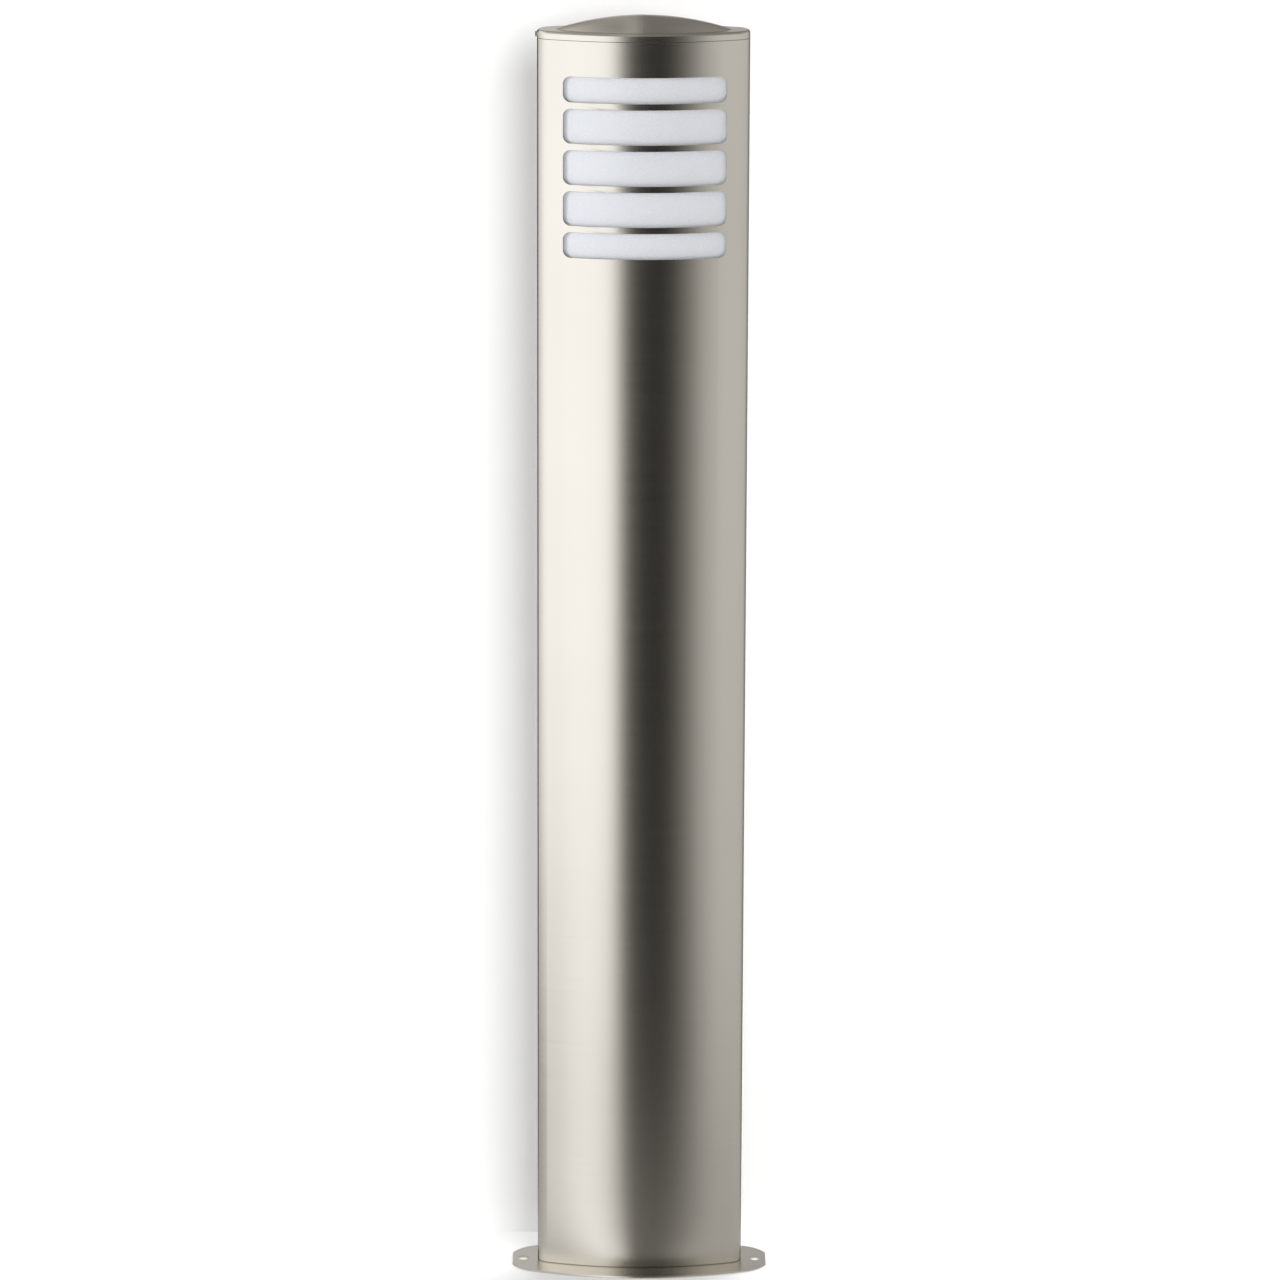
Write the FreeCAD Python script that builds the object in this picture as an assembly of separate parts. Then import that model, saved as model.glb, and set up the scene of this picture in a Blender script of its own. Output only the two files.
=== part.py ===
import FreeCAD, Part
import math
import os

# Flat-oval bollard light, in millimetres.
# Origin at the centre of the base plate's underside, +Z up.
# The light slots face -Y, and +X is to the right of someone who looks at them.

V = FreeCAD.Vector
UP = V(0, 0, 1)

# Post tube: oval section of four tangent arcs
tube_width = 128.0
tube_depth = 34.0
tube_end_radius = 8.5
tube_wall = 1.2
tube_length = 784.0

# Base plate
plate_thickness = 1.5
plate_end_margin = 15.5
plate_front_margin = 15.0
plate_end_trim = 2.0
plate_end_radius = 21.5
anchor_edge_distance = 6.5
anchor_diameter = 7.0
cable_hole_diameter = 16.0

# Light slots in the front wall
slot_side_margin = 14.75
end_slot_height = 16.0
middle_slot_height = 21.5
middle_slots = 3
slot_bar = 3.8
slot_corner_radius = 4.8
slot_drop = 21.5
slot_shift = 0.9

# Lid
lid_seam = 0.35
lid_skirt = 5.0
lid_wall = 1.2
lid_edge_radius = 1.8
crown_side_margin = 11.0
crown_front_margin = 3.5
crown_height = 8.5
lid_screw_diameter = 2.4
lid_screw_head_diameter = 3.2
lid_screw_head_height = 1.1

# Clearances
body_gap = 0.3
seat_gap = 0.05
shank_gap = 0.05

# Pan-head screws and nuts, as shares of the shank's diameter
pan_head_share = 1.85
pan_height_share = 0.62
recess_reach_share = 0.3
recess_width_share = 0.12
recess_depth_share = 0.6
nut_flats_share = 1.8
nut_height_share = 0.75
sheet_screw_tip = 1.5

# Lid collar and gasket
collar_wall = 1.5
collar_depth = 10.0
collar_ledge_width = 3.5
collar_ledge_thickness = 1.2
collar_rise = 3.4

# Diffuser, its frame gasket and rails
frame_gasket_thickness = 0.9
frame_gasket_margin = 1.6
frame_gasket_width = 3.6
diffuser_thickness = 2.0
diffuser_side_lap = 6.75
diffuser_top_margin = 9.0
rail_wall = 0.8
rail_lap = 5.0

# Reflector behind the lamp
reflector_thickness = 0.8
reflector_side_gap = 10.0

# Chamber floor and its brackets
floor_thickness = 1.5
floor_below_window = 64.0
bracket_wall = 1.2
bracket_width = 10.0
bracket_leg = 12.0
bracket_side_gap = 15.0
floor_screw_diameter = 4.0

# Lampholder and twin-tube lamp
holder_width = 36.0
holder_depth = 19.0
holder_height = 26.0
holder_ear_span = 50.0
holder_ear_thickness = 4.0
holder_screw_spacing = 43.0
holder_screw_diameter = 3.0
pin_spacing = 23.0
pin_diameter = 2.4
pin_length = 7.0
pin_clearance = 0.1
key_width = 13.0
key_depth = 12.0
key_length = 20.0
key_clearance = 0.4
lamp_base_width = 32.0
lamp_base_depth = 16.0
lamp_base_height = 20.0
lamp_base_radius = 4.8
lamp_tube_diameter = 12.5
lamp_tube_pitch = 15.5
lamp_tube_length = 125.0
lamp_bridge_diameter = 6.0
lamp_bridge_drop = 14.0

# Gear tray
tray_side_margin = 11.0
tray_thickness = 1.2
tray_length = 176.0
tray_back_gap = 7.8
tray_screw_edge = 6.0
tray_screw_diameter = 4.0

# Ballast
ballast_side_gap = 5.0
ballast_front_gap = 7.4
ballast_height = 88.0
ballast_wall = 1.6
ballast_cover_radius = 1.5
ballast_drop = 18.0
ballast_ear = 7.0
ballast_screw_diameter = 3.0
board_thickness = 1.6
board_standoff = 2.4
pad_diameter = 5.0
pad_side_inset = 6.0
pad_end_inset = 8.0
choke_size = 22.0
choke_x = -10.0
choke_rise = 17.0
capacitor_diameter = 9.5
capacitor_x = 16.0
capacitor_rises = (20.0, -4.0)
transistor_width = 10.0
transistor_height = 15.0
transistor_depth = 4.5
transistor_x = -8.0
transistor_drop = 20.5

# Terminal block, cord grip and earth point
terminal_poles = 3
terminal_pitch = 11.0
terminal_height = 20.0
terminal_depth = 13.0
terminal_drop = 14.0
terminal_bore_diameter = 4.4
terminal_screw_diameter = 3.4
terminal_bore_share = 0.4
terminal_clamp_shares = (0.25, 0.75)
terminal_screw_recess = 1.0
terminal_groove_width = 0.7
terminal_groove_depth = 0.9
fixing_screw_diameter = 2.8
fixing_screw_recess = 3.0
grip_drop = 16.0
grip_width = 34.0
grip_height = 8.0
grip_thickness = 3.0
grip_block_depth = 4.0
grip_screw_spacing = 24.0
grip_screw_diameter = 3.0
earth_screw_diameter = 4.0
earth_screw_tip = 2.6
earth_x = 28.0
earth_rise = 6.0
earth_ring_diameter = 8.6
earth_ring_thickness = 0.9
earth_barrel_length = 5.0
earth_barrel_lap = 0.6
earth_barrel_wall = 0.4

# Leads and grommet
lead_diameter = 4.0
lead_hole_clearance = 0.5
earth_lead_diameter = 2.6
earth_lead_bend = 5.0
lamp_lead_x = -11.5
supply_lead_x = -11.0
grommet_bore_diameter = 10.0
grommet_flange_diameter = 21.0
grommet_flange_height = 2.0
grommet_recess = 0.2
weld_leg = 1.8

# Widths and depths worked out from the sizes above
plate_length = tube_width + 2 * plate_end_margin
plate_depth = tube_depth + 2 * plate_front_margin
anchor_spacing = plate_length - 2 * anchor_edge_distance
slot_width = tube_width - 2 * slot_side_margin
crown_width = tube_width - 2 * crown_side_margin
crown_depth = tube_depth - 2 * crown_front_margin
diffuser_width = slot_width + 2 * diffuser_side_lap
reflector_width = tube_width - 2 * reflector_side_gap
bracket_centre = tube_width / 2 - bracket_side_gap
tray_width = holder_ear_span + 2 * tray_side_margin
tray_back = tube_depth / 2 - tray_back_gap
tray_front = tray_back - tray_thickness
tray_screw_spacing = tray_width - 2 * tray_screw_edge
ballast_width = tray_width - 2 * ballast_side_gap
ballast_back = tray_front - ballast_wall
ballast_front = ballast_front_gap - tube_depth / 2
terminal_front = tray_front - terminal_depth
terminal_bore_y = tray_front - terminal_bore_share * terminal_depth
grip_front = tray_front - grip_block_depth - grip_thickness
barrel_radius = earth_lead_diameter / 2 + earth_barrel_wall
barrel_end = earth_x - earth_ring_diameter / 2 - earth_barrel_length

# Heights worked out from the sizes above
tube_bottom = plate_thickness
tube_top = tube_bottom + tube_length
window_top = tube_top - slot_drop
window_height = (2 * end_slot_height + middle_slots * middle_slot_height
                 + (middle_slots + 1) * slot_bar)
window_bottom = window_top - window_height
lid_bottom = tube_top + lid_seam
lid_plane = tube_top + lid_skirt
lid_screw_height = lid_bottom + seat_gap + lid_screw_head_diameter / 2
floor_top = window_bottom - floor_below_window
floor_bottom = floor_top - floor_thickness
holder_bottom = floor_top + reflector_thickness
holder_top = holder_bottom + holder_height
lamp_base_top = holder_top + lamp_base_height
flange_bottom = floor_bottom - tray_thickness
ballast_top = flange_bottom - ballast_drop
ballast_bottom = ballast_top - ballast_height
terminal_top = ballast_bottom - terminal_drop
terminal_bottom = terminal_top - terminal_height
fixing_height = (terminal_top + terminal_bottom) / 2
grip_top = terminal_bottom - grip_drop
grip_middle = grip_top - grip_height / 2
earth_height = terminal_top + earth_rise
diffuser_top = window_top + diffuser_top_margin


def arc(first, middle, last):
    return Part.Arc(first, middle, last).toShape()


def oval_wire(half_length, half_depth, end_radius, z):
    """Closed oval: two flat arcs, front and back, and two tight end arcs, all tangent."""
    end_centre = half_length - end_radius
    flat_radius = ((end_centre ** 2 + half_depth ** 2 - end_radius ** 2)
                   / (2 * (half_depth - end_radius)))
    flat_centre = flat_radius - half_depth
    span = flat_radius - end_radius
    tangent_x = end_centre + end_radius * end_centre / span
    tangent_y = end_radius * flat_centre / span
    right_back, right_front = V(tangent_x, tangent_y, z), V(tangent_x, -tangent_y, z)
    left_back, left_front = V(-tangent_x, tangent_y, z), V(-tangent_x, -tangent_y, z)
    return Part.Wire([
        arc(left_front, V(0, -half_depth, z), right_front),
        arc(right_front, V(half_length, 0, z), right_back),
        arc(right_back, V(0, half_depth, z), left_back),
        arc(left_back, V(-half_length, 0, z), left_front),
    ])


def tube_oval(inset, low, high):
    """Solid with the tube's outline, drawn in by inset, from height low to high."""
    wire = oval_wire(tube_width / 2 - inset, tube_depth / 2 - inset, tube_end_radius - inset, low)
    return Part.Face(wire).extrude(V(0, 0, high - low))


def tube_ring(outer_inset, inner_inset, low, high):
    return tube_oval(outer_inset, low, high).cut(tube_oval(inner_inset, low, high))


def block(x_range, y_range, z_range):
    size = [pair[1] - pair[0] for pair in (x_range, y_range, z_range)]
    return Part.makeBox(*size, V(x_range[0], y_range[0], z_range[0]))


def centred_block(width, y_range, z_range, x=0.0):
    return block((x - width / 2, x + width / 2), y_range, z_range)


def rod(diameter, start, end):
    direction = end.sub(start)
    return Part.makeCylinder(diameter / 2, direction.Length, start, direction)


def hole(diameter, start, end):
    """Cutter for a hole, a little longer than the wall at both ends."""
    reach = end.sub(start).normalize()
    return rod(diameter, start.sub(reach), end.add(reach))


def screw(diameter, tip, seat, head_diameter=None, head_height=None):
    """Pan-head screw with a cross recess: tip and seat are the ends of its shank."""
    head_diameter = head_diameter or pan_head_share * diameter
    head_height = head_height or pan_height_share * diameter
    outward = seat.sub(tip).normalize()
    top = seat.add(outward * head_height)
    body = rod(diameter, tip, seat).fuse(rod(head_diameter, seat, top))
    body = body.removeSplitter()
    side = V(0, 0, 1) if abs(outward.z) < 0.5 else V(1, 0, 0)
    other = outward.cross(side)
    length = 2 * recess_reach_share * head_diameter
    width = recess_width_share * head_diameter
    depth = recess_depth_share * head_height
    for along, across in ((side, other), (other, side)):
        corner = top.sub(along * length / 2).sub(across * width / 2).sub(outward * depth)
        far = corner.add(along * length)
        points = [corner, far, far.add(across * width), corner.add(across * width), corner]
        body = body.cut(Part.Face(Part.makePolygon(points)).extrude(outward * (depth + 1)))
    return body


def nut(diameter, start, direction):
    """Hexagon nut for a screw of that diameter: it lies against start and runs along direction."""
    thickness = nut_height_share * diameter
    side = V(0, 0, 1) if abs(direction.z) < 0.5 else V(1, 0, 0)
    other = direction.cross(side)
    radius = nut_flats_share * diameter / math.sqrt(3)
    turns = [math.radians(60 * k) for k in range(7)]
    points = [start.add(side * radius * math.cos(t)).add(other * radius * math.sin(t))
              for t in turns]
    body = Part.Face(Part.makePolygon(points)).extrude(direction * thickness)
    return body.cut(hole(diameter + 2 * shank_gap, start, start.add(direction * thickness)))


def drill(body, diameter, start, end):
    """The body with a clearance hole for a shank of that diameter."""
    return body.cut(hole(diameter + 2 * shank_gap, start, end))


def mirrored(shape):
    """The shape and its copy on the other side of the middle plane, as one group."""
    return Part.makeCompound([shape, shape.mirror(V(0, 0, 0), V(1, 0, 0))])


def rounded_plate(width, height, radius, y_range, middle):
    """Plate with rounded corners, in line with the light slots, between two depths."""
    z_range = (middle - height / 2, middle + height / 2)
    plate = centred_block(width, y_range, z_range, slot_shift)
    corners = [e for e in plate.Edges if abs(e.tangentAt(e.FirstParameter).y) > 0.99]
    return plate.makeFillet(radius, corners)


# The post: plate, tube and what holds them


def base_plate():
    outline = oval_wire(plate_length / 2 + plate_end_trim, plate_depth / 2, plate_end_radius, 0)
    plate = Part.Face(outline).extrude(V(0, 0, plate_thickness))
    trim = centred_block(plate_length, (-plate_depth, plate_depth), (0, plate_thickness))
    plate = plate.common(trim)
    for x in (-anchor_spacing / 2, anchor_spacing / 2):
        plate = plate.cut(hole(anchor_diameter, V(x, 0, 0), V(x, 0, plate_thickness)))
    return plate.cut(hole(cable_hole_diameter, V(0, 0, 0), V(0, 0, plate_thickness)))


def slot_heights():
    """Height and middle of each light slot, from the top one down."""
    heights = [end_slot_height] + [middle_slot_height] * middle_slots + [end_slot_height]
    top = window_top
    for height in heights:
        yield height, top - height / 2
        top -= height + slot_bar


def post_tube():
    tube = tube_ring(0, tube_wall, tube_bottom, tube_top)
    for height, middle in slot_heights():
        cutter = rounded_plate(slot_width, height, slot_corner_radius, (-tube_depth, 0), middle)
        tube = tube.cut(cutter)
    return tube


def foot_weld():
    inset = tube_wall + seat_gap
    return tube_ring(inset, inset + weld_leg, tube_bottom, tube_bottom + weld_leg)


def cable_grommet():
    low, high = grommet_recess, plate_thickness + grommet_flange_height
    spigot = rod(cable_hole_diameter - 2 * seat_gap, V(0, 0, low), V(0, 0, high))
    flange = rod(grommet_flange_diameter, V(0, 0, plate_thickness), V(0, 0, high))
    body = spigot.fuse(flange).removeSplitter()
    return body.cut(hole(grommet_bore_diameter, V(0, 0, low), V(0, 0, high)))


# The lid and what it closes on


def crown_solid(inset):
    """Arched crown, drawn in by inset: an arc turned about a level line that runs along X."""
    half_width, half_depth = crown_width / 2, crown_depth / 2
    arch_radius = (half_width ** 2 + crown_height ** 2) / (2 * crown_height)
    cross_radius = (half_depth ** 2 + crown_height ** 2) / (2 * crown_height)
    arch_centre = lid_plane + crown_height - arch_radius
    axis_height = lid_plane + crown_height - cross_radius
    radius = arch_radius - inset
    reach = math.sqrt(radius ** 2 - (axis_height - arch_centre) ** 2)
    left, right = V(-reach, 0, axis_height), V(reach, 0, axis_height)
    edge = arc(left, V(0, 0, arch_centre + radius), right)
    face = Part.Face(Part.Wire([edge, Part.makeLine(right, left)]))
    return face.revolve(V(0, 0, axis_height), V(1, 0, 0), 360)


def lid():
    shell = tube_oval(0, lid_bottom, lid_plane)
    rim = [e for e in shell.Edges if e.BoundBox.ZMin > lid_plane - 0.001]
    shell = shell.makeFillet(lid_edge_radius, rim)
    depths = (-tube_depth, tube_depth)
    crest = lid_plane + 2 * crown_height
    above = centred_block(tube_width, depths, (lid_plane, crest))
    shell = shell.fuse(crown_solid(0).common(above)).removeSplitter()
    shell = shell.cut(tube_oval(lid_wall, tube_top, lid_plane - lid_wall))
    hollow = centred_block(tube_width, depths, (lid_plane - 2 * lid_wall, crest))
    shell = shell.cut(crown_solid(lid_wall).common(hollow))
    start = V(-tube_width / 2, 0, lid_screw_height)
    return drill(shell, lid_screw_diameter, start, start.add(V(lid_wall, 0, 0)))


def lid_screw():
    seat = V(-tube_width / 2, 0, lid_screw_height)
    tip = seat.add(V(lid_wall + body_gap - shank_gap, 0, 0))
    return screw(lid_screw_diameter, tip, seat, lid_screw_head_diameter, lid_screw_head_height)


def lid_collar():
    low, high = tube_top - collar_depth, tube_top + collar_rise
    inner = lid_wall + body_gap + collar_wall
    lower = tube_ring(tube_wall + seat_gap, inner, low, tube_top)
    upper = tube_ring(lid_wall + body_gap, inner, tube_top - seat_gap, high)
    ledge = tube_ring(inner - seat_gap, inner + collar_ledge_width,
                      tube_top - collar_ledge_thickness, tube_top)
    return lower.fuse([upper, ledge]).removeSplitter()


def lid_gasket():
    """Soft ring on the collar's ledge; the lid rests on it."""
    inner = lid_wall + body_gap + collar_wall
    high = lid_plane - lid_wall - seat_gap
    return tube_ring(inner + seat_gap, inner + collar_ledge_width, tube_top, high)


# The window: diffuser, its seal and its rails


def front_sheet(outer_inset, thickness, width, low, high, x=0.0):
    """Curved sheet that follows the inside of the front wall."""
    ring = tube_ring(outer_inset, outer_inset + thickness, low, high)
    return ring.common(centred_block(width, (-tube_depth, 0), (low, high), x))


def diffuser_inset():
    return tube_wall + 2 * seat_gap + frame_gasket_thickness


def diffuser():
    inset = diffuser_inset()
    return front_sheet(inset, diffuser_thickness, diffuser_width, floor_top, diffuser_top)


def window_gasket():
    inset = tube_wall + seat_gap
    inner = frame_gasket_margin
    outer = inner + frame_gasket_width
    sheet = front_sheet(inset, frame_gasket_thickness, slot_width + 2 * outer,
                        window_bottom - outer, window_top + outer, slot_shift)
    opening = centred_block(slot_width + 2 * inner, (-tube_depth, 0),
                            (window_bottom - inner, window_top + inner), slot_shift)
    return sheet.cut(opening)


def diffuser_rail():
    """Channel at the diffuser's right edge: a leg on the wall and a lip behind the diffuser."""
    edge = diffuser_width / 2 + seat_gap
    back = diffuser_inset() + diffuser_thickness + seat_gap
    low, high = floor_top, diffuser_top
    leg = tube_ring(tube_wall + seat_gap, back + rail_wall, low, high)
    leg = leg.common(block((edge, edge + rail_wall), (-tube_depth, 0), (low, high)))
    lip = tube_ring(back, back + rail_wall, low, high)
    lip = lip.common(block((edge - rail_lap, edge + rail_wall), (-tube_depth, 0), (low, high)))
    return leg.fuse(lip).removeSplitter()


# The lamp chamber


def chamber_floor():
    floor = tube_oval(tube_wall + body_gap, floor_bottom, floor_top)
    for x in (-bracket_centre, bracket_centre):
        floor = drill(floor, floor_screw_diameter, V(x, 0, floor_bottom), V(x, 0, floor_top))
    return cut_service_holes(floor, floor_bottom, floor_top)


def cut_service_holes(sheet, low, high):
    """Holes for the tray's screws, the lampholder's screws and the lamp lead."""
    for spacing, diameter in ((tray_screw_spacing, tray_screw_diameter),
                              (holder_screw_spacing, holder_screw_diameter)):
        for x in (-spacing / 2, spacing / 2):
            sheet = drill(sheet, diameter, V(x, 0, low), V(x, 0, high))
    return cut_lead_hole(sheet, low, high)


def cut_lead_hole(sheet, low, high):
    x = lamp_lead_x
    return sheet.cut(hole(lead_diameter + 2 * lead_hole_clearance, V(x, 0, low), V(x, 0, high)))


def floor_bracket():
    """Right-hand bracket: a ledge from wall to wall and two legs that follow the walls."""
    x_range = (bracket_centre - bracket_width / 2, bracket_centre + bracket_width / 2)
    low = floor_bottom - bracket_leg
    cutter = block(x_range, (-tube_depth, tube_depth), (low, floor_bottom))
    outer = tube_wall + seat_gap
    legs = tube_ring(outer, outer + bracket_wall, low, floor_bottom)
    ledge = tube_oval(outer, floor_bottom - bracket_wall, floor_bottom)
    bracket = legs.fuse(ledge).common(cutter).removeSplitter()
    x = bracket_centre
    bottom, top = V(x, 0, floor_bottom - bracket_wall), V(x, 0, floor_bottom)
    return drill(bracket, floor_screw_diameter, bottom, top)


def floor_screw():
    x = bracket_centre
    tip = V(x, 0, floor_bottom - bracket_wall - floor_screw_diameter)
    return screw(floor_screw_diameter, tip, V(x, 0, floor_top))


def reflector():
    inset = tube_wall + body_gap
    low, high = floor_top, floor_top + reflector_thickness
    ring = tube_ring(inset, inset + reflector_thickness, low, diffuser_top)
    sheet = ring.common(centred_block(reflector_width, (0, tube_depth), (low, diffuser_top)))
    back = tube_depth / 2 - inset
    foot = centred_block(holder_ear_span, (-holder_depth / 2, back), (low, high))
    foot = foot.common(tube_oval(inset, low, high))
    body = sheet.fuse(foot).removeSplitter()
    for x in (-holder_screw_spacing / 2, holder_screw_spacing / 2):
        body = drill(body, holder_screw_diameter, V(x, 0, low), V(x, 0, high))
    return cut_lead_hole(body, low, high)


def lampholder():
    y_range = (-holder_depth / 2, holder_depth / 2)
    body = centred_block(holder_width, y_range, (holder_bottom, holder_top))
    ear_top = holder_bottom + holder_ear_thickness
    ears = centred_block(holder_ear_span, y_range, (holder_bottom, ear_top))
    body = body.fuse(ears).removeSplitter()
    for x in (-holder_screw_spacing / 2, holder_screw_spacing / 2):
        body = drill(body, holder_screw_diameter, V(x, 0, holder_bottom), V(x, 0, ear_top))
    socket_depth = key_length + key_clearance
    half_depth = key_depth / 2 + key_clearance
    socket = centred_block(key_width + 2 * key_clearance, (-half_depth, half_depth),
                           (holder_top - socket_depth, holder_top))
    body = body.cut(socket)
    for x in (-pin_spacing / 2, pin_spacing / 2):
        bottom = V(x, 0, holder_top - pin_length - key_clearance)
        body = body.cut(rod(pin_diameter + 2 * pin_clearance, bottom, V(x, 0, holder_top)))
    return body


def holder_screw():
    x = holder_screw_spacing / 2
    seat = V(x, 0, holder_bottom + holder_ear_thickness)
    tip = V(x, 0, flange_bottom - holder_screw_diameter)
    return screw(holder_screw_diameter, tip, seat)


def holder_nut():
    start = V(holder_screw_spacing / 2, 0, flange_bottom)
    return nut(holder_screw_diameter, start, V(0, 0, -1))


# The lamp


def lamp_base():
    y_range = (-lamp_base_depth / 2, lamp_base_depth / 2)
    low = holder_top + body_gap
    shell = centred_block(lamp_base_width, y_range, (low, lamp_base_top))
    upright = [e for e in shell.Edges if abs(e.tangentAt(e.FirstParameter).z) > 0.99]
    shell = shell.makeFillet(lamp_base_radius, upright)
    key = centred_block(key_width, (-key_depth / 2, key_depth / 2), (holder_top - key_length, low))
    return shell.fuse(key).removeSplitter()


def lamp_pin():
    x = pin_spacing / 2
    return rod(pin_diameter, V(x, 0, holder_top - pin_length), V(x, 0, holder_top + body_gap))


def lamp_tubes():
    radius = lamp_tube_diameter / 2
    straight = lamp_tube_length - radius
    legs = []
    for x in (-lamp_tube_pitch / 2, lamp_tube_pitch / 2):
        start, end = V(x, 0, lamp_base_top), V(x, 0, lamp_base_top + straight)
        legs.append(rod(lamp_tube_diameter, start, end))
        legs.append(Part.makeSphere(radius, end, UP, 0, 90, 360))
    height = lamp_base_top + lamp_tube_length - lamp_bridge_drop
    left, right = V(-lamp_tube_pitch / 2, 0, height), V(lamp_tube_pitch / 2, 0, height)
    return rod(lamp_bridge_diameter, left, right).fuse(legs).removeSplitter()


# The gear tray and what it carries


def gear_tray():
    low = floor_bottom - tray_length
    sheet = centred_block(tray_width, (tray_front, tray_back), (low, floor_bottom))
    reach = (tray_back - tube_depth / 2, tray_back)
    flange = centred_block(tray_width, reach, (flange_bottom, floor_bottom))
    tray = sheet.fuse(flange).removeSplitter()
    tray = cut_service_holes(tray, flange_bottom, floor_bottom)
    for x, z, diameter in tray_fixings():
        tray = drill(tray, diameter, V(x, tray_front, z), V(x, tray_back, z))
    return tray


def tray_fixings():
    """Place and size of each screw that goes into the tray's upright sheet."""
    places = [(0, z, ballast_screw_diameter) for z in ballast_screw_heights()]
    places += [(x, fixing_height, fixing_screw_diameter) for x in terminal_fixing_places()]
    places += [(x, grip_middle, grip_screw_diameter)
               for x in (-grip_screw_spacing / 2, grip_screw_spacing / 2)]
    places.append((earth_x, earth_height, earth_screw_diameter))
    return places


def tray_screw():
    x = tray_screw_spacing / 2
    tip = V(x, 0, flange_bottom - tray_screw_diameter)
    return screw(tray_screw_diameter, tip, V(x, 0, floor_top))


def tray_nut():
    start = V(tray_screw_spacing / 2, 0, flange_bottom)
    return nut(tray_screw_diameter, start, V(0, 0, -1))


def ballast_screw_heights():
    return (ballast_top + ballast_ear / 2, ballast_bottom - ballast_ear / 2)


def ballast_pan():
    """Back pan of the ballast, with an ear for a screw above and below."""
    y_range = (ballast_back, tray_front)
    pan = centred_block(ballast_width, y_range, (ballast_bottom, ballast_top))
    ears = (ballast_bottom - ballast_ear, ballast_top + ballast_ear)
    pan = pan.fuse(centred_block(2 * ballast_ear, y_range, ears)).removeSplitter()
    for z in ballast_screw_heights():
        pan = drill(pan, ballast_screw_diameter, V(0, ballast_back, z), V(0, tray_front, z))
    return pan


def ballast_cover():
    z_range = (ballast_bottom, ballast_top)
    shell = centred_block(ballast_width, (ballast_front, ballast_back), z_range)
    front_edges = [e for e in shell.Edges if e.BoundBox.YMax < ballast_front + seat_gap]
    shell = shell.makeFillet(ballast_cover_radius, front_edges)
    inside = centred_block(ballast_width - 2 * ballast_wall,
                           (ballast_front + ballast_wall, ballast_back + ballast_wall),
                           (ballast_bottom + ballast_wall, ballast_top - ballast_wall))
    return shell.cut(inside)


def ballast_board():
    margin = ballast_wall + body_gap
    back = ballast_back - board_standoff
    z_range = (ballast_bottom + margin, ballast_top - margin)
    board = centred_block(ballast_width - 2 * margin, (back - board_thickness, back), z_range)
    side = ballast_width / 2 - pad_side_inset
    pads = [rod(pad_diameter, V(x, back, z), V(x, ballast_back, z))
            for x in (-side, side)
            for z in (ballast_bottom + pad_end_inset, ballast_top - pad_end_inset)]
    return board.fuse(pads).removeSplitter()


def ballast_components():
    """Choke, two capacitors and a power transistor, standing on the board."""
    face = ballast_back - board_standoff - board_thickness
    front = ballast_front + ballast_wall + body_gap
    middle = (ballast_top + ballast_bottom) / 2
    low = middle + choke_rise - choke_size / 2
    choke = centred_block(choke_size, (front, face), (low, low + choke_size), choke_x)
    capacitors = [rod(capacitor_diameter, V(capacitor_x, face, middle + rise),
                      V(capacitor_x, front, middle + rise)) for rise in capacitor_rises]
    low = middle - transistor_drop - transistor_height / 2
    transistor = centred_block(transistor_width, (face - transistor_depth, face),
                               (low, low + transistor_height), transistor_x)
    return Part.makeCompound([choke, *capacitors, transistor])


def ballast_screws():
    return Part.makeCompound([
        screw(ballast_screw_diameter, V(0, tray_back + sheet_screw_tip, z), V(0, ballast_back, z))
        for z in ballast_screw_heights()])


def terminal_places():
    """Where the terminals stand across the tray, from the left one to the right one."""
    return [supply_lead_x + k * terminal_pitch for k in range(terminal_poles)]


def terminal_fixing_places():
    return [x + terminal_pitch / 2 for x in terminal_places()[:-1]]


def terminal_clamp_heights():
    return [terminal_bottom + share * terminal_height for share in terminal_clamp_shares]


def terminal_block():
    places = terminal_places()
    x_range = (places[0] - terminal_pitch / 2, places[-1] + terminal_pitch / 2)
    body = block(x_range, (terminal_front, tray_front), (terminal_bottom, terminal_top))
    for x in places:
        low, high = V(x, terminal_bore_y, terminal_bottom), V(x, terminal_bore_y, terminal_top)
        body = body.cut(rod(terminal_bore_diameter, low, high))
        for z in terminal_clamp_heights():
            diameter = terminal_screw_diameter + 2 * shank_gap
            body = body.cut(rod(diameter, V(x, terminal_front, z), V(x, terminal_bore_y, z)))
    recess = pan_head_share * fixing_screw_diameter + 2 * body_gap
    for x in terminal_fixing_places():
        front = V(x, terminal_front, fixing_height)
        body = drill(body, fixing_screw_diameter, front, V(x, tray_front, fixing_height))
        body = body.cut(rod(recess, front, front.add(V(0, fixing_screw_recess, 0))))
    return body


def terminal_screws():
    front = terminal_front + terminal_screw_recess
    screws = []
    for x in terminal_places():
        for z in terminal_clamp_heights():
            body = rod(terminal_screw_diameter, V(x, front, z), V(x, terminal_bore_y, z))
            heights = (z - terminal_screw_diameter, z + terminal_screw_diameter)
            groove = (front, front + terminal_groove_depth)
            screws.append(body.cut(centred_block(terminal_groove_width, groove, heights, x)))
    return Part.makeCompound(screws)


def terminal_fixings():
    tip, seat = tray_back + sheet_screw_tip, terminal_front + fixing_screw_recess
    return Part.makeCompound([
        screw(fixing_screw_diameter, V(x, tip, fixing_height), V(x, seat, fixing_height))
        for x in terminal_fixing_places()])


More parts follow.
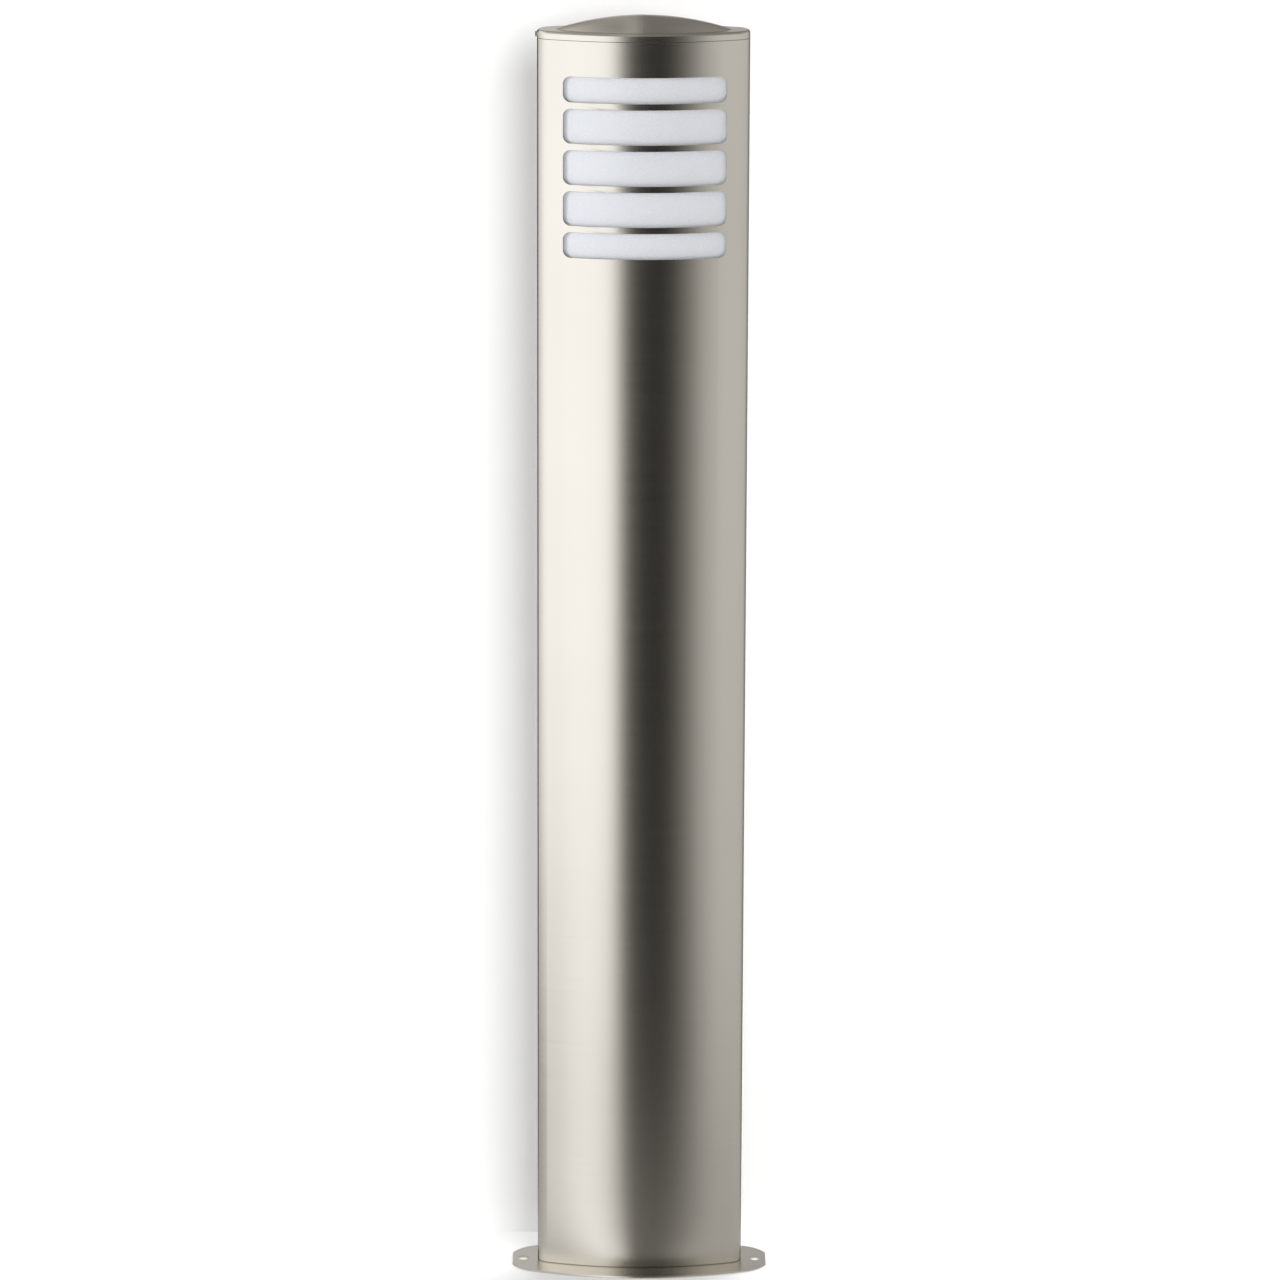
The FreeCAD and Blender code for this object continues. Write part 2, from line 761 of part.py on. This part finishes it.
def cord_grip():
    """Clamp for the supply cable: a bar on two feet, open between them."""
    bar = centred_block(grip_width, (grip_front, tray_front), (grip_top - grip_height, grip_top))
    gap = grip_screw_spacing - 2 * grip_screw_diameter
    channel = (tray_front - grip_block_depth, tray_front)
    bar = bar.cut(centred_block(gap, channel, (grip_top - grip_height, grip_top)))
    for x in (-grip_screw_spacing / 2, grip_screw_spacing / 2):
        front, back = V(x, grip_front, grip_middle), V(x, tray_front, grip_middle)
        bar = drill(bar, grip_screw_diameter, front, back)
    return bar


def grip_screw():
    x = grip_screw_spacing / 2
    tip = V(x, tray_back + sheet_screw_tip, grip_middle)
    return screw(grip_screw_diameter, tip, V(x, grip_front, grip_middle))


# Earth point and leads


def earth_ring():
    """Crimped ring terminal: a washer-like ring, flat on the tray, with a barrel to its left."""
    z = earth_height
    back, front = V(earth_x, tray_front, z), V(earth_x, tray_front - earth_ring_thickness, z)
    y = tray_front - barrel_radius
    barrel_start = barrel_end + earth_barrel_length + earth_barrel_lap
    barrel = rod(2 * barrel_radius, V(barrel_end, y, z), V(barrel_start, y, z))
    body = rod(earth_ring_diameter, back, front).fuse(barrel).removeSplitter()
    return drill(body, earth_screw_diameter, front, back)


def earth_screw():
    tip = V(earth_x, tray_back + earth_screw_tip, earth_height)
    return screw(earth_screw_diameter, tip, V(earth_x, tray_front - earth_ring_thickness, earth_height))


def earth_lead():
    """From the last terminal up and round to the ring terminal."""
    x, y, z = terminal_places()[-1], tray_front - barrel_radius, earth_height
    bend = earth_lead_bend
    start, corner, exit_point = V(x, y, terminal_top), V(x, y, z - bend), V(x + bend, y, z)
    along = bend * math.sqrt(0.5)
    path = Part.Wire([
        Part.makeLine(start, corner),
        arc(corner, V(x + bend - along, y, z - bend + along), exit_point),
        Part.makeLine(exit_point, V(barrel_end, y, z)),
    ])
    profile = Part.Wire([Part.makeCircle(earth_lead_diameter / 2, start, UP)])
    return path.makePipeShell([profile], True, False)


def lamp_lead():
    """From the ballast's top through the floor into the lampholder."""
    return rod(lead_diameter, V(lamp_lead_x, 0, ballast_top), V(lamp_lead_x, 0, holder_bottom))


def supply_lead():
    """From the first terminal up into the ballast."""
    x, y = supply_lead_x, terminal_bore_y
    return rod(lead_diameter, V(x, y, terminal_top), V(x, y, ballast_bottom))


nodes = {
    "base_plate": base_plate(),
    "post_tube": post_tube(),
    "foot_weld": foot_weld(),
    "cable_grommet": cable_grommet(),
    "lid": lid(),
    "lid_screw": lid_screw(),
    "lid_collar": lid_collar(),
    "lid_gasket": lid_gasket(),
    "diffuser": diffuser(),
    "window_gasket": window_gasket(),
    "diffuser_rail_right": diffuser_rail(),
    "diffuser_rail_left": diffuser_rail().mirror(V(0, 0, 0), V(1, 0, 0)),
    "chamber_floor": chamber_floor(),
    "floor_bracket_right": floor_bracket(),
    "floor_bracket_left": floor_bracket().mirror(V(0, 0, 0), V(1, 0, 0)),
    "floor_screws": mirrored(floor_screw()),
    "reflector": reflector(),
    "lampholder": lampholder(),
    "lampholder_screws": mirrored(holder_screw()),
    "lampholder_nuts": mirrored(holder_nut()),
    "lamp_base": lamp_base(),
    "lamp_pins": mirrored(lamp_pin()),
    "lamp_tubes": lamp_tubes(),
    "gear_tray": gear_tray(),
    "tray_screws": mirrored(tray_screw()),
    "tray_nuts": mirrored(tray_nut()),
    "ballast_pan": ballast_pan(),
    "ballast_cover": ballast_cover(),
    "ballast_board": ballast_board(),
    "ballast_components": ballast_components(),
    "ballast_screws": ballast_screws(),
    "terminal_block": terminal_block(),
    "terminal_screws": terminal_screws(),
    "terminal_fixings": terminal_fixings(),
    "cord_grip": cord_grip(),
    "cord_grip_screws": mirrored(grip_screw()),
    "earth_ring": earth_ring(),
    "earth_screw": earth_screw(),
    "earth_lead": earth_lead(),
    "lamp_lead": lamp_lead(),
    "supply_lead": supply_lead(),
}

os.makedirs("parts", exist_ok=True)
for name, shape in nodes.items():
    if not shape.isValid():
        print("not valid:", name)
    if not shape.Solids:
        print("no solid:", name)
    shape.exportStep("parts/" + name + ".step")
box = Part.makeCompound(list(nodes.values())).BoundBox
print(len(nodes), "nodes; size", round(box.XLength, 2), round(box.YLength, 2), round(box.ZLength, 2),
      "from", round(box.XMin, 2), round(box.YMin, 2), round(box.ZMin, 2))
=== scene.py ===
import math

import bpy
from mathutils import Matrix, Vector

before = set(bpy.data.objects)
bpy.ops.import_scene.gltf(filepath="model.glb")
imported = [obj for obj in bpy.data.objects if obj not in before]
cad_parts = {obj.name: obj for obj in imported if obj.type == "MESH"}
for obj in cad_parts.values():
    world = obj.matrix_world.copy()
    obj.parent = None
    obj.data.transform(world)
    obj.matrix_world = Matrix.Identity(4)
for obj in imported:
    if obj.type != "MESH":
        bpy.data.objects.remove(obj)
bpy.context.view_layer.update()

scene = bpy.context.scene
scene.view_settings.view_transform = "Standard"


# Camera

CAMERA_PLACE = Vector((-0.0172, -4.2061, 1.6676))
CAMERA_PITCH = 0.29091
CAMERA_YAW = 0.003875
CAMERA_ROLL = -0.003531
CAMERA_LENS = 200.93
SENSOR_WIDTH = 36.0
CLIP_START = 0.05
CLIP_END = 100


def add_camera():
    forward = Vector((
        math.sin(CAMERA_YAW) * math.cos(CAMERA_PITCH),
        math.cos(CAMERA_YAW) * math.cos(CAMERA_PITCH),
        -math.sin(CAMERA_PITCH),
    ))
    right = Vector((math.cos(CAMERA_YAW), -math.sin(CAMERA_YAW), 0))
    down = forward.cross(right)
    rolled_right = math.cos(CAMERA_ROLL) * right + math.sin(CAMERA_ROLL) * down
    rolled_down = math.cos(CAMERA_ROLL) * down - math.sin(CAMERA_ROLL) * right
    turn = Matrix((rolled_right, -rolled_down, -forward)).transposed()
    data = bpy.data.cameras.new("camera")
    data.lens = CAMERA_LENS
    data.sensor_width = SENSOR_WIDTH
    data.clip_start = CLIP_START
    data.clip_end = CLIP_END
    camera = bpy.data.objects.new("camera", data)
    camera.matrix_world = Matrix.Translation(CAMERA_PLACE) @ turn.to_4x4()
    scene.collection.objects.link(camera)
    scene.camera = camera


add_camera()


# Node helpers

class Graph:
    """The node tree of a material or of the world, with short calls for the nodes used here."""

    def __init__(self, owner, output="OutputMaterial"):
        owner.use_nodes = True
        self.owner = owner
        self.tree = owner.node_tree
        self.tree.nodes.clear()
        self.output = self.node(output)

    def node(self, kind, **settings):
        made = self.tree.nodes.new("ShaderNode" + kind)
        for name, value in settings.items():
            setattr(made, name, value)
        return made

    def link(self, start, end):
        self.tree.links.new(start, end)

    def put(self, value, socket):
        """A number or a colour goes on the socket itself, another node's output is linked."""
        if isinstance(value, (int, float)):
            socket.default_value = value
        elif isinstance(value, tuple):
            socket.default_value = (*value, 1)
        else:
            self.link(value, socket)

    def show(self, shader):
        self.link(shader, self.output.inputs["Surface"])

    def place(self):
        """Place in the object's own coordinates."""
        return self.node("TexCoord").outputs["Object"]

    def axes(self):
        """The place as separate X, Y and Z."""
        split = self.node("SeparateXYZ")
        self.link(self.place(), split.inputs[0])
        return split.outputs

    def distance(self):
        """How far the place is from the object's origin."""
        length = self.node("VectorMath", operation="LENGTH")
        self.link(self.place(), length.inputs[0])
        return length.outputs["Value"]

    def noise(self, scale, detail, stretch=(1, 1, 1)):
        mapping = self.node("Mapping")
        mapping.inputs["Scale"].default_value = stretch
        self.link(self.place(), mapping.inputs["Vector"])
        made = self.node("TexNoise")
        made.inputs["Scale"].default_value = scale
        made.inputs["Detail"].default_value = detail
        self.link(mapping.outputs["Vector"], made.inputs["Vector"])
        return made.outputs["Fac"]

    def spread(self, value, low, high, start=0.3, end=0.7):
        """The value's stretch from start to end, mapped to low to high and held there."""
        made = self.node("MapRange")
        made.inputs["From Min"].default_value = start
        made.inputs["From Max"].default_value = end
        made.inputs["To Min"].default_value = low
        made.inputs["To Max"].default_value = high
        self.link(value, made.inputs["Value"])
        return made.outputs["Result"]

    def math(self, operation, first, second=0.0):
        made = self.node("Math", operation=operation)
        self.put(first, made.inputs[0])
        self.put(second, made.inputs[1])
        return made.outputs[0]

    def weighed(self, first, second, share):
        """Sum of two values: this share of the first and the rest of the second."""
        rest = self.math("MULTIPLY", second, 1 - share)
        return self.math("ADD", self.math("MULTIPLY", first, share), rest)

    def between(self, share, first, second):
        """Mix of two colours."""
        made = self.node("Mix", data_type="RGBA")
        self.link(share, made.inputs[0])
        ends = [socket for socket in made.inputs if socket.type == "RGBA"]
        self.put(first, ends[0])
        self.put(second, ends[1])
        return next(socket for socket in made.outputs if socket.type == "RGBA")

    def ramp(self, value, stops):
        """Colour ramp through (place, colour) stops."""
        made = self.node("ValToRGB")
        elements = made.color_ramp.elements
        elements[0].position, elements[1].position = stops[0][0], stops[-1][0]
        for place, _ in stops[1:-1]:
            elements.new(place)
        for element, (_, colour) in zip(elements, stops):
            element.color = (*colour, 1)
        self.link(value, made.inputs[0])
        return made.outputs["Color"]

    def bump(self, height, depth, strength):
        made = self.node("Bump")
        made.inputs["Strength"].default_value = strength
        made.inputs["Distance"].default_value = depth
        self.link(height, made.inputs["Height"])
        return made.outputs["Normal"]

    def glow(self, strength, colour=(1.0, 1.0, 1.0)):
        made = self.node("Emission")
        self.put(strength, made.inputs["Strength"])
        self.put(colour, made.inputs["Color"])
        return made.outputs[0]

    def surface(self, **values):
        """Principled shader as the material's surface; an input's name has _ for each space."""
        made = self.node("BsdfPrincipled")
        for name, value in values.items():
            self.put(value, made.inputs[name.replace("_", " ")])
        self.show(made.outputs["BSDF"])
        return made


def new_material(name):
    return Graph(bpy.data.materials.new(name))


# Materials

STEEL_LIGHT = (0.735, 0.705, 0.63)
STEEL_DARK = (0.70, 0.67, 0.595)
STEEL_ROUGHNESS = (0.2, 0.26)
# painted contact shade along the tube's foot where it stands on its plate, which fades out
# between these heights
FOOT_SHADE_DARK = (0.27, 0.25, 0.215)
FOOT_SHADE_HEIGHTS = (0.0016, 0.0023)
# how quickly the brushing varies along X, Y and Z
TUBE_GRAIN = (22, 22, 3600)
PLATE_GRAIN = (22, 3600, 3600)


def brushed_steel(name, grain, painted_foot_shade=False):
    g = new_material(name)
    fine = g.noise(scale=1.0, detail=4.0, stretch=grain)
    coarse = g.noise(scale=1.0, detail=2.0, stretch=tuple(n * 0.3 for n in grain))
    cloud = g.noise(scale=11.0, detail=2.0)
    streaks = g.weighed(fine, coarse, share=0.7)
    tone = g.weighed(streaks, cloud, share=0.6)
    colour = g.between(g.spread(tone, 0, 1, start=0.36, end=0.64), STEEL_DARK, STEEL_LIGHT)
    if painted_foot_shade:
        # painted shade: the tube's lowest two millimetres are darkened as contact shadow at the
        # plate
        colour = g.between(g.spread(g.axes()["Z"], 0, 1, *FOOT_SHADE_HEIGHTS), FOOT_SHADE_DARK, colour)
    g.surface(
        Base_Color=colour,
        Metallic=1.0,
        Roughness=g.spread(streaks, *STEEL_ROUGHNESS),
        Normal=g.bump(fine, depth=0.000004, strength=0.25),
        Anisotropic=0.88,
        Anisotropic_Rotation=0.25,
        Tangent=g.node("Tangent", direction_type="RADIAL", axis="Z").outputs["Tangent"],
    )
    return g.owner


def moulded(name, low, high, rough=(0.4, 0.55)):
    """A moulded plastic: slight cloudiness, a fine surface texture and uneven gloss."""
    g = new_material(name)
    cloud = g.noise(scale=35.0, detail=3.0)
    texture = g.noise(scale=900.0, detail=2.0)
    g.surface(
        Base_Color=g.between(g.spread(cloud, 0, 1), low, high),
        Roughness=g.spread(texture, *rough),
        Normal=g.bump(texture, depth=0.00003, strength=0.4),
    )
    return g.owner


def rubber(name, low, high):
    g = new_material(name)
    cloud = g.noise(scale=60.0, detail=4.0)
    texture = g.noise(scale=1800.0, detail=3.0)
    g.surface(
        Base_Color=g.between(g.spread(cloud, 0, 1), low, high),
        Roughness=g.spread(texture, 0.55, 0.8),
        Normal=g.bump(texture, depth=0.00005, strength=0.5),
    )
    return g.owner


def powder_coat(name, low, high):
    g = new_material(name)
    peel = g.noise(scale=650.0, detail=2.0)
    cloud = g.noise(scale=25.0, detail=2.0)
    g.surface(
        Base_Color=g.between(g.spread(cloud, 0, 1), low, high),
        Roughness=g.spread(peel, 0.28, 0.42),
        Normal=g.bump(peel, depth=0.00005, strength=0.5),
    )
    return g.owner


def galvanised(name, low, high):
    """Zinc-coated sheet, whose crystals each take the light differently."""
    g = new_material(name)
    crystals = g.node("TexVoronoi")
    crystals.inputs["Scale"].default_value = 160.0
    g.link(g.place(), crystals.inputs["Vector"])
    split = g.node("SeparateColor")
    g.link(crystals.outputs["Color"], split.inputs["Color"])
    streak = g.noise(scale=600.0, detail=3.0)
    tone = g.weighed(split.outputs["Red"], streak, share=0.7)
    g.surface(
        Base_Color=g.between(tone, low, high),
        Metallic=1.0,
        Roughness=g.spread(tone, 0.28, 0.5, start=0, end=1),
        Normal=g.bump(streak, depth=0.00003, strength=0.3),
    )
    return g.owner


def plated(name, low, high, rough=(0.18, 0.32)):
    g = new_material(name)
    wear = g.noise(scale=240.0, detail=4.0)
    turned = g.noise(scale=2600.0, detail=2.0)
    g.surface(
        Base_Color=g.between(g.spread(wear, 0, 1), low, high),
        Metallic=1.0,
        Roughness=g.spread(turned, *rough),
        Normal=g.bump(turned, depth=0.00001, strength=0.3),
    )
    return g.owner


def opal(name, low, high):
    """Opal acrylic: bluish white, softly see-through, with a satin face."""
    g = new_material(name)
    cloud = g.noise(scale=18.0, detail=2.0)
    texture = g.noise(scale=1400.0, detail=2.0)
    g.surface(
        Base_Color=g.between(g.spread(cloud, 0, 1), low, high),
        Roughness=g.spread(texture, 0.22, 0.3),
        Normal=g.bump(texture, depth=0.00001, strength=0.2),
        Subsurface_Weight=0.1,
        Subsurface_Scale=0.002,
        Specular_IOR_Level=0.75,
    )
    return g.owner


def frosted_glass(name, low, high):
    g = new_material(name)
    cloud = g.noise(scale=50.0, detail=3.0)
    g.surface(
        Base_Color=g.between(g.spread(cloud, 0, 1), low, high),
        Roughness=g.spread(cloud, 0.12, 0.2),
        Coat_Weight=0.6,
        Coat_Roughness=0.05,
    )
    return g.owner


def circuit_board(name, lacquer, track):
    """Resin board with tracks under its green lacquer."""
    g = new_material(name)
    tracks = g.node("TexBrick")
    tracks.inputs["Scale"].default_value = 260.0
    tracks.inputs["Mortar Size"].default_value = 0.06
    g.link(g.place(), tracks.inputs["Vector"])
    lines = tracks.outputs["Fac"]
    g.surface(
        Base_Color=g.between(lines, lacquer, track),
        Roughness=g.spread(g.noise(scale=1500.0, detail=2.0), 0.25, 0.4),
        Normal=g.bump(lines, depth=0.00004, strength=0.5),
    )
    return g.owner


FINISHES = {
    # this steel carries painted contact shade at the tube's foot
    brushed_steel("stainless_brushed_round", TUBE_GRAIN, painted_foot_shade=True): [
        "post_tube", "lid",
    ],
    brushed_steel("stainless_brushed_along", PLATE_GRAIN): ["base_plate"],
    plated("weld_bead", (0.45, 0.43, 0.40), (0.66, 0.64, 0.6), (0.3, 0.45)): ["foot_weld"],
    plated("stainless_screw", (0.55, 0.54, 0.52), (0.72, 0.71, 0.68)): ["lid_screw"],
    opal("opal_acrylic", (0.79, 0.81, 0.855), (0.81, 0.83, 0.875)): ["diffuser"],
    rubber("black_rubber", (0.018, 0.018, 0.019), (0.035, 0.035, 0.036)): [
        "lid_gasket", "window_gasket", "cable_grommet",
    ],
    powder_coat("white_powder_coat", (0.84, 0.84, 0.83), (0.9, 0.9, 0.89)): ["reflector"],
    galvanised("galvanised_sheet", (0.5, 0.52, 0.54), (0.72, 0.74, 0.76)): [
        "gear_tray", "chamber_floor", "floor_bracket_right", "floor_bracket_left",
        "lid_collar", "diffuser_rail_right", "diffuser_rail_left",
    ],
    plated("zinc_plate", (0.58, 0.59, 0.6), (0.75, 0.76, 0.78)): [
        "floor_screws", "lampholder_screws", "lampholder_nuts", "tray_screws", "tray_nuts",
        "ballast_screws", "terminal_fixings", "cord_grip_screws",
    ],
    moulded("white_plastic", (0.80, 0.80, 0.77), (0.86, 0.86, 0.84)): [
        "lampholder", "lamp_base", "terminal_block", "cord_grip",
    ],
    frosted_glass("frosted_glass", (0.86, 0.86, 0.84), (0.92, 0.92, 0.9)): ["lamp_tubes"],
    plated("brass", (0.66, 0.48, 0.2), (0.82, 0.64, 0.33), (0.2, 0.35)): [
        "lamp_pins", "terminal_screws", "earth_ring", "earth_screw",
    ],
    moulded("grey_plastic", (0.42, 0.43, 0.45), (0.5, 0.51, 0.53)): [
        "ballast_cover", "ballast_pan",
    ],
    circuit_board("circuit_board", (0.015, 0.12, 0.05), (0.05, 0.24, 0.1)): ["ballast_board"],
    moulded("dark_plastic", (0.02, 0.02, 0.023), (0.04, 0.04, 0.045)): ["ballast_components"],
    moulded("grey_sheath", (0.5, 0.5, 0.5), (0.58, 0.58, 0.58), (0.45, 0.6)): [
        "lamp_lead", "supply_lead",
    ],
    moulded("green_sheath", (0.1, 0.4, 0.06), (0.16, 0.5, 0.1), (0.4, 0.55)): ["earth_lead"],
}


def dress_nodes():
    for material, names in FINISHES.items():
        for name in names:
            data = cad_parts[name].data
            data.materials.clear()
            data.materials.append(material)


dress_nodes()


# Floor, and a pale wall close behind the post that only shows from its front

FLOOR_REACH = 12.0
FLOOR_WHITE = 0.87
# glow near the post and far off, and the distances between which it changes
FLOOR_GLOW = (0.02, 1.0)
FLOOR_FADE = (0.14, 0.9)
WALL_PLACE = 0.048
WALL_HALF_WIDTH = 0.13
WALL_HEIGHT = 0.86
WALL_WHITE = 0.8
WALL_GLOW = 0.21


def seen_rays(g):
    """1 for camera, glossy and transmission rays, which see the white background."""
    path = g.node("LightPath")
    both = g.math("MAXIMUM", path.outputs["Is Camera Ray"], path.outputs["Is Glossy Ray"])
    return g.math("MAXIMUM", both, path.outputs["Is Transmission Ray"])


def stage_surface(g, white, glow):
    """White surface that glows too where it is seen."""
    diffuse = g.node("BsdfDiffuse")
    g.put((white, white, white), diffuse.inputs["Color"])
    both = g.node("AddShader")
    g.link(diffuse.outputs[0], both.inputs[0])
    g.link(g.glow(g.math("MULTIPLY", seen_rays(g), glow)), both.inputs[1])
    return both.outputs[0]


def floor_material():
    g = new_material("studio_floor")
    g.show(stage_surface(g, FLOOR_WHITE, g.spread(g.distance(), *FLOOR_GLOW, *FLOOR_FADE)))
    return g.owner


def wall_material():
    """Clear from behind."""
    g = new_material("studio_wall")
    sided = g.node("MixShader")
    g.link(g.node("NewGeometry").outputs["Backfacing"], sided.inputs[0])
    g.link(stage_surface(g, WALL_WHITE, WALL_GLOW), sided.inputs[1])
    g.link(g.node("BsdfTransparent").outputs[0], sided.inputs[2])
    g.show(sided.outputs[0])
    return g.owner


def add_mesh(name, points, faces, material):
    mesh = bpy.data.meshes.new(name)
    mesh.from_pydata(points, [], faces)
    mesh.materials.append(material)
    made = bpy.data.objects.new(name, mesh)
    scene.collection.objects.link(made)
    return made


def seen_only_by(piece, *rays):
    for ray in ("camera", "diffuse", "glossy", "transmission", "shadow", "volume_scatter"):
        setattr(piece, "visible_" + ray, ray in rays)


def add_floor():
    corners = ((-1, -1), (1, -1), (1, 1), (-1, 1))
    points = [(x * FLOOR_REACH, y * FLOOR_REACH, 0) for x, y in corners]
    return add_mesh("floor", points, [(0, 1, 2, 3)], floor_material())


def add_wall():
    corners = ((-1, 0), (1, 0), (1, 1), (-1, 1))
    points = [(x * WALL_HALF_WIDTH, WALL_PLACE, z * WALL_HEIGHT) for x, z in corners]
    wall = add_mesh("wall", points, [(0, 1, 2, 3)], wall_material())
    seen_only_by(wall, "camera")
    return wall


FLOOR = add_floor()
WALL = add_wall()


# Reflection tent: what the metal mirrors, by direction round the post

TENT_RADIUS = 1.6
TENT_HEIGHT = 1.45
TENT_HOLE = 0.02
TENT_LIFT = 0.0005
TENT_STEPS = 96
# distances from the post's foot at which each of the three lists below holds alone
TENT_FOOT_PLACE = 0.09
TENT_NEAR_PLACE = 0.4
TENT_FAR_PLACE = 1.1
# direction from the front towards the right in degrees, and brightness: a bright screen at
# the left from -122 to -11, a dark gap in front, and a dim screen at the right from 25 on
TENT_FAR = (
    (-180, 0.62), (-166, 0.7), (-160, 0.1), (-134, 0.1), (-122, 0.8), (-92, 0.98), (-60, 1.27),
    (-27, 1.38), (-13.5, 1.34), (-11, 1.1), (-9, 0.66), (-6.8, 0.22), (-4.5, 0.09), (-2, 0.045),
    (3, 0.023), (8, 0.025), (12, 0.06), (16, 0.16), (20, 0.3), (25, 0.55), (30, 0.69),
    (104, 0.62), (138, 0.25), (156, 0.25), (180, 0.5),
)
TENT_NEAR = (
    (-180, 0.5), (-166, 0.5), (-160, 0.1), (-134, 0.1), (-122, 0.4), (-60, 0.42), (-44, 0.55),
    (-33, 0.85), (-27, 1.02), (-21, 1.08), (-13.5, 0.83), (-9, 0.44), (-6.8, 0.19),
    (-4.5, 0.12), (-2, 0.073), (3, 0.051), (8, 0.043), (12, 0.057), (16, 0.095), (20, 0.16),
    (25, 0.28), (30, 0.45), (36, 0.53), (104, 0.5), (138, 0.2), (156, 0.2), (180, 0.46),
)
TENT_FOOT = (
    (-180, 0.5), (-166, 0.5), (-160, 0.1), (-134, 0.1), (-122, 0.45), (-60, 0.6), (-44, 0.98),
    (-33, 1.18), (-27, 1.06), (-21, 0.91), (-13.5, 0.59), (-9, 0.35), (-4.5, 0.23),
    (-2, 0.19), (8, 0.16), (16, 0.167), (25, 0.21), (36, 0.31), (46, 0.45), (104, 0.5),
    (138, 0.2), (156, 0.2), (180, 0.46),
)
TENT_TOP = max(level for _, level in TENT_FAR + TENT_NEAR + TENT_FOOT)
WARM = (1.0, 0.97, 0.935)
COOL = (0.985, 0.99, 1.03)


def tinted(brightness):
    """Share of the tent's top brightness as a colour: warm when dark, neutral when bright."""
    share = brightness / TENT_TOP
    return tuple(share * (w + (c - w) * share) for w, c in zip(WARM, COOL))


def tent_material():
    g = new_material("studio_tent")
    axes = g.axes()
    turn = g.math("ARCTAN2", axes["X"], g.math("MULTIPLY", axes["Y"], -1.0))
    round_share = g.spread(turn, 0, 1, -math.pi, math.pi)
    far, near, foot = (
        g.ramp(round_share, [((side + 180) / 360, tinted(level)) for side, level in sides])
        for sides in (TENT_FAR, TENT_NEAR, TENT_FOOT)
    )
    away = g.distance()
    sides = g.between(g.spread(away, 1, 0, TENT_NEAR_PLACE, TENT_FAR_PLACE), far, near)
    sides = g.between(g.spread(away, 1, 0, TENT_FOOT_PLACE, TENT_NEAR_PLACE), sides, foot)
    g.show(g.glow(TENT_TOP, sides))
    return g.owner


def add_reflected(name, rings, material):
    """Surface through rings of (radius, height) round the post, which only reflections show."""
    points, faces = [], []
    for radius, height in rings:
        for i in range(TENT_STEPS):
            turn = 2 * math.pi * i / TENT_STEPS
            points.append((radius * math.sin(turn), -radius * math.cos(turn), height))
    for low in range(0, len(points) - TENT_STEPS, TENT_STEPS):
        high = low + TENT_STEPS
        for i in range(TENT_STEPS):
            j = (i + 1) % TENT_STEPS
            faces.append((low + i, low + j, high + j, high + i))
    seen_only_by(add_mesh(name, points, faces, material), "glossy")


TENT_RINGS = ((TENT_HOLE, TENT_LIFT), (TENT_RADIUS, TENT_LIFT), (TENT_RADIUS, TENT_HEIGHT))
add_reflected("studio_tent", TENT_RINGS, tent_material())


# Dome above the tent, mirrored in the crown of the lid

DOME_RISE = 1.5
DOME_STEPS = 12
# share of the way across from left to right, and brightness
DOME_SIDES = (
    (0.0, 1.3), (0.2, 0.62), (0.36, 0.3), (0.405, 0.28), (0.43, 0.46), (0.475, 0.46),
    (0.495, 0.21), (0.6, 0.21), (0.8, 0.3), (1.0, 0.46),
)


def dome_material():
    g = new_material("studio_dome")
    across = g.spread(g.axes()["X"], 0, 1, -TENT_RADIUS, TENT_RADIUS)
    stops = [(place, tuple(level * w for w in WARM)) for place, level in DOME_SIDES]
    g.show(g.glow(1.0, g.ramp(across, stops)))
    return g.owner


def dome_rings():
    """Rings up a quarter turn, the last one a small hole at the top."""
    for k in range(DOME_STEPS + 1):
        lift = 0.5 * math.pi * k / DOME_STEPS
        radius = max(TENT_RADIUS * math.cos(lift), TENT_HOLE)
        yield radius, TENT_HEIGHT + DOME_RISE * math.sin(lift)


add_reflected("studio_dome", dome_rings(), dome_material())


# Lamps and sky

SKY_LIGHT = 0.6
SKY_SEEN = 1.0


def add_panel(name, place, target, size, power):
    data = bpy.data.lights.new(name, "AREA")
    data.shape = "RECTANGLE"
    data.size, data.size_y = size
    data.energy = power
    made = bpy.data.objects.new(name, data)
    made.location = place
    aim = Vector(target) - Vector(place)
    made.rotation_euler = aim.to_track_quat("-Z", "Y").to_euler()
    made.visible_glossy = False
    scene.collection.objects.link(made)
    return made


def link_light(lamp, pieces, state):
    """INCLUDE: the lamp lights these pieces alone. EXCLUDE: it lights all but these."""
    linked = bpy.data.collections.new(lamp.name + "_linked")
    for piece in pieces:
        linked.objects.link(piece)
    for entry in linked.collection_objects:
        entry.light_linking.link_state = state
    lamp.light_linking.receiver_collection = linked


def add_lamps():
    stage = add_panel(
        "stage_panel", place=(1.25, -3.0, 2.1), target=(0, 0, 0.4), size=(2.0, 2.4), power=92)
    floor = add_panel(
        "floor_panel", place=(0.5, 1.3, 2.2), target=(0, 0, 0), size=(1.6, 1.6), power=40)
    side = add_panel(
        "side_panel", place=(-2.5, -1.45, 1.3), target=(0, 0, 0.55), size=(0.9, 1.8), power=43.5)
    link_light(stage, [FLOOR, WALL], "INCLUDE")
    link_light(floor, [FLOOR], "INCLUDE")
    link_light(side, [FLOOR, WALL], "EXCLUDE")


def add_sky():
    scene.world = bpy.data.worlds.new("sky")
    g = Graph(scene.world, "OutputWorld")
    back = g.node("Background")
    g.link(g.spread(seen_rays(g), SKY_LIGHT, SKY_SEEN, start=0, end=1), back.inputs["Strength"])
    g.show(back.outputs["Background"])


add_lamps()
add_sky()
